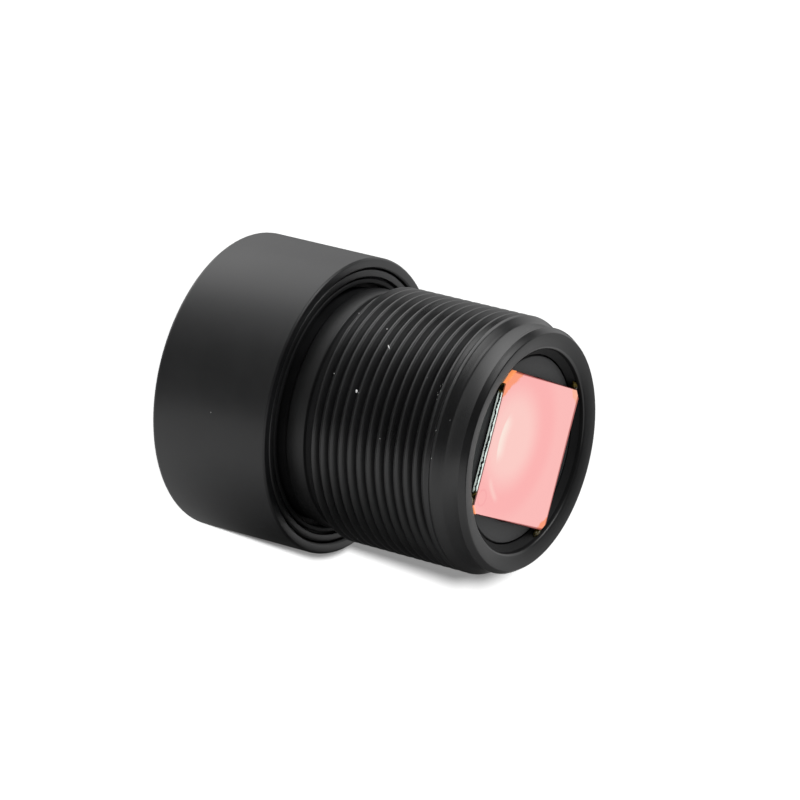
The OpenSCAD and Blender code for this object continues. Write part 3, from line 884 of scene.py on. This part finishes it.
height = tree.nodes.new("ShaderNodeSeparateXYZ")
tree.links.new(place, height.inputs[0])
facing = tree.nodes.new("ShaderNodeSeparateXYZ")
tree.links.new(tree.nodes.new("ShaderNodeNewGeometry").outputs["True Normal"], facing.inputs[0])
on_side = step_between(tree, math_node(tree, "ABSOLUTE", facing.outputs["Z"]), 0.5, 0.2)
jagged = node(tree, "ShaderNodeTexNoise", Scale=5200.0, Detail=3.0, Roughness=0.7)
tree.links.new(place, jagged.inputs["Vector"])
depth_in = math_node(tree, "MULTIPLY", math_node(tree, "SUBTRACT", height.outputs["Z"],
                                                 (FILTER_Z + 0.12) * MM), 1000)
from_line = math_node(tree, "ABSOLUTE", math_node(tree, "ADD", depth_in, math_node(
    tree, "MULTIPLY", math_node(tree, "SUBTRACT", jagged.outputs["Fac"], 0.5), 0.26)))
scribe = step_between(tree, from_line, 0.055, 0.035)
edge_colour = mixed_colour(tree, scribe, GLASS_EDGE, SCRIBE_DARK)
off_square = math_node(tree, "MULTIPLY", math_node(tree, "ABSOLUTE", facing.outputs["X"]),
                       math_node(tree, "ABSOLUTE", facing.outputs["Y"]))
on_cut = step_between(tree, off_square, 0.15, 0.30)
edge_colour = mixed_colour(tree, on_cut, edge_colour, AMBER_EDGE)
# old glue covers both ends of the long side
side_end = step_between(tree, math_node(tree, "ADD", math_node(
    tree, "MULTIPLY", math_node(tree, "ABSOLUTE", height.outputs["X"]), 1000), math_node(
        tree, "MULTIPLY", jagged.outputs["Fac"], 0.5)), 2.40, 2.60)
lumps = step_between(tree, jagged.outputs["Fac"], 0.52, 0.62)
edge_colour = mixed_colour(tree, math_node(tree, "MULTIPLY", side_end, math_node(
    tree, "SUBTRACT", 1.0, on_cut)), edge_colour, mixed_colour(tree, lumps, OLD_GLUE, OLIVE_GLUE))
# a thin dark red line along three of the edges: the coat's red edge, darkened with painted shade of the gap
# beside the plate
upright = math_node(tree, "ABSOLUTE", facing.outputs["Z"])
on_rim = math_node(tree, "MULTIPLY", step_between(tree, upright, 0.97, 0.85),
                   step_between(tree, off_square, 0.12, 0.05))
from_x = math_node(tree, "SUBTRACT", FILTER_HALF * FILTER_SQUEEZE, math_node(
    tree, "MULTIPLY", math_node(tree, "ABSOLUTE", height.outputs["X"]), 1000))
from_y = math_node(tree, "SUBTRACT", FILTER_HALF, math_node(
    tree, "MULTIPLY", height.outputs["Y"], 1000))
red_edge_shade_line = math_node(tree, "MAXIMUM", step_between(tree, from_y, 0.17, 0.10),
                     step_between(tree, from_x, 0.085, 0.05))
red_edge_shade_line = math_node(tree, "MULTIPLY", math_node(tree, "MAXIMUM", red_edge_shade_line, on_rim),
                     step_between(tree, height.outputs["Y"], -0.0033, -0.0032))
colour = mixed_colour(tree, math_node(tree, "MULTIPLY", red_edge_shade_line, 0.8), colour, RED_EDGE_AND_SHADE)
colour = mixed_colour(tree, on_side, colour, edge_colour)
tree.links.new(colour, shader.inputs["Base Color"])
tree.links.new(math_node(tree, "MULTIPLY", math_node(tree, "SUBTRACT", 1.0, on_side), 0.75),
               shader.inputs["Metallic"])
tree.links.new(math_node(tree, "ADD", math_node(tree, "MULTIPLY", on_side, 0.30), 0.06),
               shader.inputs["Roughness"])
shader.inputs["IOR"].default_value = 1.52
# painted glow: emission on the sides and the low cut corner stands in for light caught inside the plate leaking
# out of its rough edges
above = step_between(tree, depth_in, 0.0, 0.06)
open_side = math_node(tree, "MULTIPLY", math_node(tree, "SUBTRACT", 1.0, scribe),
                      math_node(tree, "SUBTRACT", 1.0, side_end))
open_side = math_node(tree, "MULTIPLY", open_side, math_node(
    tree, "ADD", math_node(tree, "MULTIPLY", above, 0.45), 0.25))
cut_rim = math_node(tree, "MULTIPLY", step_between(tree, off_square, 0.12, 0.22),
                    step_between(tree, facing.outputs["Y"], -0.2, -0.4))
low_corner = math_node(tree, "MULTIPLY", cut_rim, step_between(tree, upright, 0.97, 0.85))
leak = mixed_colour(tree, step_between(tree, off_square, 0.12, 0.22),
                    (0.85, 1.0, 0.92), (1.0, 0.32, 0.12))
tree.links.new(leak, shader.inputs["Emission Color"])
side_glow = math_node(tree, "MULTIPLY", math_node(tree, "MULTIPLY", open_side, on_side),
                      math_node(tree, "SUBTRACT", 1.0, on_cut))
tree.links.new(math_node(tree, "ADD", side_glow, math_node(tree, "MULTIPLY", low_corner, 0.75)),
               shader.inputs["Emission Strength"])
ir_filter = finished(filter_bm, "filter_plate", "ir_filter", pink_coat,
                     math.radians(20))

# %% [markdown]
# ## Glue
#
# A drop of amber glue sits at each corner of the filter. It was put on with a
# needle, ran along the gap by itself and cured, so each drop differs. A ball that
# is flattened and pushed about by smooth noise gives such a drop. A metaball would
# give the same look, but it can't be shaped as exactly to the narrow gap.

# %% Glue drops
random.seed(7)
amber, tree, shader = new_material("amber_glue")
place = tree.nodes.new("ShaderNodeTexCoord").outputs["Object"]
murk = node(tree, "ShaderNodeTexNoise", Scale=2600.0, Detail=3.0, Roughness=0.6)
tree.links.new(place, murk.inputs["Vector"])
tree.links.new(ramp(tree, murk.outputs["Fac"], [(0.40, (0.018, 0.015, 0.003)),
                                                (0.58, (0.07, 0.050, 0.005)),
                                                (0.75, (0.30, 0.20, 0.03))]),
               shader.inputs["Base Color"])
shader.inputs["Roughness"].default_value = 0.18
shader.inputs["Coat Weight"].default_value = 0.4
shader.inputs["Coat Roughness"].default_value = 0.05

DROPS = [(1, 41.0, 4.60, 0.30, 0.14), (2, 138.0, 4.60, 0.26, 0.13),
         (3, 230.5, 4.54, 0.50, 0.14), (4, 306.0, 4.54, 0.44, 0.12)]
for number, azimuth, radius, along, across in DROPS:
    drop = bmesh.new()
    bmesh.ops.create_icosphere(drop, subdivisions=4, radius=1)
    for vert in drop.verts:
        bump = 1 + 0.22 * noise.noise(vert.co * 1.3 + Vector((number * 5.0, 0, 0)))
        vert.co = Vector((vert.co.x * across * bump, vert.co.y * along * bump,
                          vert.co.z * 0.115 * bump))
    bmesh.ops.translate(drop, vec=(radius, 0, 15.745), verts=drop.verts)
    bmesh.ops.rotate(drop, cent=(0, 0, 0), verts=drop.verts,
                     matrix=Matrix.Rotation(math.radians(azimuth), 3, "Z"))
    finished(drop, "glue_drop_%d" % number, "glue_spot_%d" % number, amber)

# %% [markdown]
# ## The glasses
#
# Each glass is a disc with ground edges and two polished balls. Drawn as a line, it
# is an arc, a straight edge and another arc. The edge of a real glass is painted
# black to stop stray light, so the faces of the edge get a second material.

# %% Glass and black ink
coated_glass, tree, shader = new_material("coated_glass")
place = tree.nodes.new("ShaderNodeTexCoord").outputs["Object"]
haze = node(tree, "ShaderNodeTexNoise", Scale=900.0, Detail=3.0, Roughness=0.5)
tree.links.new(place, haze.inputs["Vector"])
tree.links.new(math_node(tree, "MULTIPLY", haze.outputs["Fac"], 0.03), shader.inputs["Roughness"])
tree.links.new(ramp(tree, haze.outputs["Fac"], [(0.3, (0.90, 0.96, 0.93)), (0.7, (0.94, 0.98, 0.97))]),
               shader.inputs["Base Color"])
shader.inputs["Transmission Weight"].default_value = 1.0
shader.inputs["IOR"].default_value = 1.55
shader.inputs["Specular Tint"].default_value = (0.55, 0.80, 1.0, 1)

edge_ink, tree, shader = new_material("edge_ink")
place = tree.nodes.new("ShaderNodeTexCoord").outputs["Object"]
brushed = node(tree, "ShaderNodeTexNoise", Scale=3000.0, Detail=3.0, Roughness=0.6)
tree.links.new(place, brushed.inputs["Vector"])
tree.links.new(ramp(tree, brushed.outputs["Fac"], [(0.3, (0.006, 0.006, 0.007)), (0.7, (0.012, 0.012, 0.013))]),
               shader.inputs["Base Color"])
shader.inputs["Roughness"].default_value = 0.7


# %% Glasses
def ball_line(line, ball, open_r, height, outward):
    """Heights of the apex and of the ball's centre, for a face from the axis to open_r that bulges by its
    ball's depth.
    """
    depth = ball - math.sqrt(ball * ball - open_r * open_r)
    return height + outward * depth, height - outward * (ball - depth)


def glass_disc(name, solid, radius, low, high, front, back):
    """front and back are (ball, opening, +1 for a bulge or -1 for a hollow)."""
    ball, front_r, outward = front
    front_apex, front_centre = ball_line(None, ball, front_r, low, -outward)
    ball, back_r, outward = back
    back_apex, back_centre = ball_line(None, ball, back_r, high, outward)
    line = TurnedLine()
    line.to(0, front_apex).arc(0, front_centre, front_r, low, 24)
    line.to(radius, low, 0.04).to(radius, high, 0.04).to(back_r, high)
    line.arc(0, back_centre, 0, back_apex, 24)
    glass = finished(line.spun(144), name, solid, coated_glass)
    glass.data.materials.append(edge_ink)
    for face in glass.data.polygons:
        beyond = math.hypot(face.center.x, face.center.y) > (max(front_r, back_r) + 0.02) * MM
        if beyond:
            face.material_index = 1
    return glass


glass_disc("front_glass", "front_lens", 5.5, 1.60, 3.0, (10, 4.84, 1), (5, 3.55, -1))
glass_disc("second_glass", "second_lens", 4.25, 3.70, 4.90, (12, 3.59, 1), (3.4, 2.56, -1))
glass_disc("third_glass", "third_lens", 3.65, 5.50, 7.30, (6.5, 3.0, 1), (8, 3.0, 1))
glass_disc("crown_glass", "doublet_crown", 3.95, 10.84, 11.24, (8, 3.3, 1), (7, 3.949, 1))
glass_disc("rear_glass", "rear_lens", 3.95, 13.68, 14.68, (12, 3.3, 1), (8, 3.3, 1))
glass_disc("flint_glass", "doublet_flint", 3.95, 11.25, 13.07, (7, 3.949, -1), (400, 3.3, -1))

# %% [markdown]
# ## Inner rings and the seal
#
# Spacers, the aperture stop and the rubber seal are hidden inside. Their solids
# have the right shape already, so they only get finishes.

# %% Inner finishes
seal_black, tree, shader = new_material("seal_black")
place = tree.nodes.new("ShaderNodeTexCoord").outputs["Object"]
bloom = node(tree, "ShaderNodeTexNoise", Scale=1500.0, Detail=4.0, Roughness=0.6)
tree.links.new(place, bloom.inputs["Vector"])
tree.links.new(ramp(tree, bloom.outputs["Fac"], [(0.3, (0.010, 0.010, 0.010)), (0.8, (0.022, 0.021, 0.020))]),
               shader.inputs["Base Color"])
shader.inputs["Roughness"].default_value = 0.55
spacer_black = anodised("matt_black_spacer", (0.010, 0.010, 0.011), (0.018, 0.018, 0.019),
                        0.62, 1.5e-6, 1.5e-6)
stop_black = anodised("stop_film_black", (0.008, 0.008, 0.008), (0.013, 0.013, 0.014),
                      0.75, 0.5e-6, 1.0e-6)


def dress(solid, material):
    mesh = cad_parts[solid].data
    mesh.materials.clear()
    mesh.materials.append(material)
    print(solid, "wears", material.name)


for solid in ("front_spacer", "second_spacer", "stop_spacer", "rear_spacer"):
    dress(solid, spacer_black)
dress("aperture_stop", stop_black)
dress("front_seal", seal_black)

# %% [markdown]
# ## Dust
#
# The photograph shows a few bright grains on the thread and the land, and one short
# fibre. A close picture of a tiny part without dust looks unreal. The grains are
# small rough balls that sit in the surface, all in one piece.

# %% Dust
dust_grey, tree, shader = new_material("pale_dust")
place = tree.nodes.new("ShaderNodeTexCoord").outputs["Object"]
fuzz = node(tree, "ShaderNodeTexNoise", Scale=9000.0, Detail=2.0, Roughness=0.5)
tree.links.new(place, fuzz.inputs["Vector"])
tree.links.new(ramp(tree, fuzz.outputs["Fac"], [(0.3, (0.45, 0.45, 0.46)), (0.7, (0.85, 0.85, 0.84))]),
               shader.inputs["Base Color"])
shader.inputs["Roughness"].default_value = 0.9

# radius, height and azimuth of each grain, its size, and how long and how tilted it is
GRAINS = [(5.985, 10.02, -97, 0.050, 1.5, 30), (5.985, 10.62, -120, 0.030, 4.6, 42),
          (5.985, 9.98, -129, 0.028, 1.2, 0), (5.99, 8.60, -102, 0.016, 1.3, 0),
          (5.50, 7.90, -102, 0.018, 1.4, 10), (5.99, 8.12, -134, 0.016, 1.5, 0),
          (5.99, 14.53, -89, 0.016, 1.0, 0), (5.99, 14.57, -77, 0.018, 1.0, 0),
          (5.99, 14.62, -58, 0.014, 1.0, 0), (5.74, 14.92, -95, 0.016, 1.2, 0),
          (6.995, 3.30, -75, 0.018, 1.0, 0), (5.985, 14.06, -104, 0.014, 1.6, 20),
          (5.985, 14.12, -106, 0.011, 1.2, 50), (5.985, 14.02, -108, 0.012, 1.0, 0),
          (5.98, 14.10, -102, 0.010, 1.4, 0), (5.985, 14.08, -109, 0.010, 1.0, 30),
          (5.985, 14.00, -105, 0.009, 1.3, 10)]

dust = bmesh.new()


def grain(radius, height, azimuth, size, length, tilt):
    made = bmesh.ops.create_icosphere(dust, subdivisions=2, radius=size)["verts"]
    for vert in made:
        vert.co *= 1 + 0.35 * noise.noise(vert.co / size + Vector((azimuth, height, 0)))
    bmesh.ops.scale(dust, vec=(0.7, length, 1), verts=made)
    bmesh.ops.rotate(dust, cent=(0, 0, 0), verts=made,
                     matrix=Matrix.Rotation(math.radians(tilt), 3, "X"))
    bmesh.ops.translate(dust, vec=(radius, 0, height), verts=made)
    bmesh.ops.rotate(dust, cent=(0, 0, 0), verts=made,
                     matrix=Matrix.Rotation(math.radians(azimuth), 3, "Z"))


for row in GRAINS:
    grain(*row)
for _ in range(60):
    azimuth = random.uniform(-180, 180)
    turns = random.randrange(0, 13)
    crest = CREST_Z_AT_ZERO + PITCH * (turns + 1 + (azimuth % 360) / 360)
    if crest < 14.4:
        grain(5.985, crest + random.uniform(-0.05, 0.05), azimuth, random.uniform(0.008, 0.015), 1.2, 0)
finished(dust, "dust_grains", None, dust_grey)
